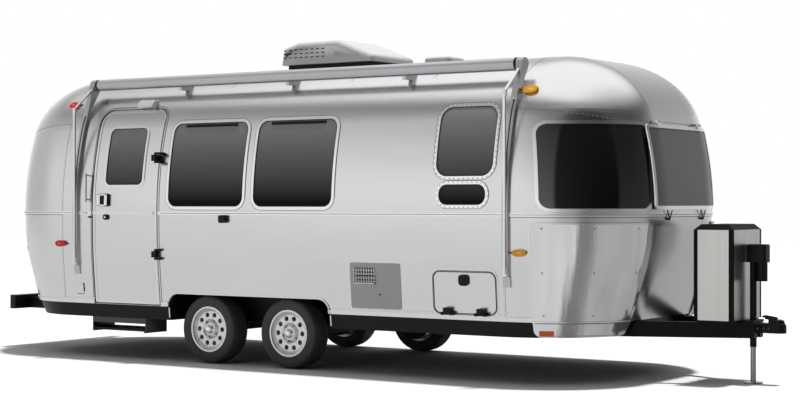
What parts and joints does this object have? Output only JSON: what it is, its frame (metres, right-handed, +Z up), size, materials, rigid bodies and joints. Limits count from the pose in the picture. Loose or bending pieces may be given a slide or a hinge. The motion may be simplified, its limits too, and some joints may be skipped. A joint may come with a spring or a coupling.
{
  "type": "travel caravan",
  "caption": "Round-ended riveted aluminium travel caravan on twin axles, with a hinged entry door, hatch, front window guard, jack and sliding step.",
  "frame": {"origin": "on the ground, at the middle of the length from coupler tip to rear bumper, on the body's middle plane", "axes": "+X forward to the coupler, +Y to the street side, +Z up; the door is on the -Y curb side"},
  "size_m": [7.9, 2.605, 2.945],
  "materials": {
    "shell": "satin, brushed along the panels, clear coated",
    "bright_trim": "bright anodised",
    "window_glass": "tinted, glossy",
    "guard_sheet": "smoked clear plastic, glossy",
    "polished_steel": "mirror polished stainless sheet",
    "black_paint": "satin black paint",
    "black_plastic": "moulded black plastic",
    "white_plastic": "moulded white plastic",
    "grey_panel": "satin grey paint",
    "alloy": "machined and lacquered",
    "tyre": "matt black rubber",
    "steel": "plated steel",
    "red_lens": "clear red plastic",
    "amber_lens": "clear amber plastic",
    "clear_lens": "clear plastic",
    "awning_sheet": "satin roll cover",
    "floor_board": "plain board"
  },
  "bodies": {
    "body": {"curb_wall": "shell", "street_wall": "shell", "roof_panel": "shell", "front_dome": "shell", "rear_dome": "shell", "front_centre": "shell", "rear_centre": "shell", "front_corners": "shell", "rear_corners": "shell", "side_window_frames": "bright_trim", "side_glass": "window_glass", "end_window_frames": "bright_trim", "end_glass": "window_glass", "belt_rail": "bright_trim", "sill_rail": "bright_trim", "stone_guards": "polished_steel", "heater_panel": "grey_panel", "floor": "floor_board", "wheel_boxes": "black_paint", "belly_pan": "black_paint", "axles": "black_paint", "drawbar": "black_paint", "coupler": "black_paint", "gas_cover": "alloy", "gas_cover_trim": "black_plastic", "rear_bumper": "black_paint", "jack_body": "black_plastic", "hinge_pins": "black_paint", "step_frame": "black_paint", "awning_roller": "awning_sheet", "awning_arms": "bright_trim", "ac_base": "black_plastic", "ac_shroud": "white_plastic", "roof_vent": "white_plastic", "lamps_red": "red_lens", "lamps_amber": "amber_lens", "porch_lamp": "clear_lens", "grab_handle": "bright_trim", "door_catch": "black_plastic", "window_guard_pins": "bright_trim"},
    "door": {"door_leaf": "shell", "door_trim": "bright_trim", "door_glass": "window_glass", "door_fittings": "black_plastic"},
    "hatch": {"hatch_leaf": "shell", "hatch_fittings": "black_plastic"},
    "window_guard": {"window_guard_frame": "bright_trim", "window_guard_sheet": "guard_sheet", "window_guard_hinges": "bright_trim"},
    "jack_ram": {"jack_ram": "steel"},
    "step": {"step_tread": "black_paint"},
    "wheel_curb_rear": {"tyre_curb_rear": "tyre", "rim_curb_rear": "alloy"},
    "wheel_curb_front": {"tyre_curb_front": "tyre", "rim_curb_front": "alloy"},
    "wheel_street_rear": {"tyre_street_rear": "tyre", "rim_street_rear": "alloy"},
    "wheel_street_front": {"tyre_street_front": "tyre", "rim_street_front": "alloy"}
  },
  "joints": [
    {"name": "door_hinge", "type": "hinge", "parent": "body", "child": "door", "pos_m": [-1.5605, -1.296, 1.4], "axis": [0, 0, 1], "range_deg": [0, 170]},
    {"name": "hatch_hinge", "type": "hinge", "parent": "body", "child": "hatch", "pos_m": [1.7145, -1.2709, 0.5565], "axis": [1, 0, 0], "range_deg": [0, 160]},
    {"name": "window_guard_hinge", "type": "hinge", "parent": "body", "child": "window_guard", "pos_m": [3.0298, 0, 2.099], "axis": [0, -1, 0], "range_deg": [0, 80]},
    {"name": "jack_slide", "type": "slide", "parent": "body", "child": "jack_ram", "axis": [0, 0, 1], "range_m": [-0.1, 0.25]},
    {"name": "step_slide", "type": "slide", "parent": "body", "child": "step", "axis": [0, -1, 0], "range_m": [0, 0.26]},
    {"name": "wheel_curb_rear_spin", "type": "hinge", "parent": "body", "child": "wheel_curb_rear", "pos_m": [-1.061, 0, 0.31], "axis": [0, 1, 0], "continuous": true},
    {"name": "wheel_curb_front_spin", "type": "hinge", "parent": "body", "child": "wheel_curb_front", "pos_m": [-0.159, 0, 0.31], "axis": [0, 1, 0], "continuous": true},
    {"name": "wheel_street_rear_spin", "type": "hinge", "parent": "body", "child": "wheel_street_rear", "pos_m": [-1.061, 0, 0.31], "axis": [0, 1, 0], "continuous": true},
    {"name": "wheel_street_front_spin", "type": "hinge", "parent": "body", "child": "wheel_street_front", "pos_m": [-0.159, 0, 0.31], "axis": [0, 1, 0], "continuous": true}
  ]
}
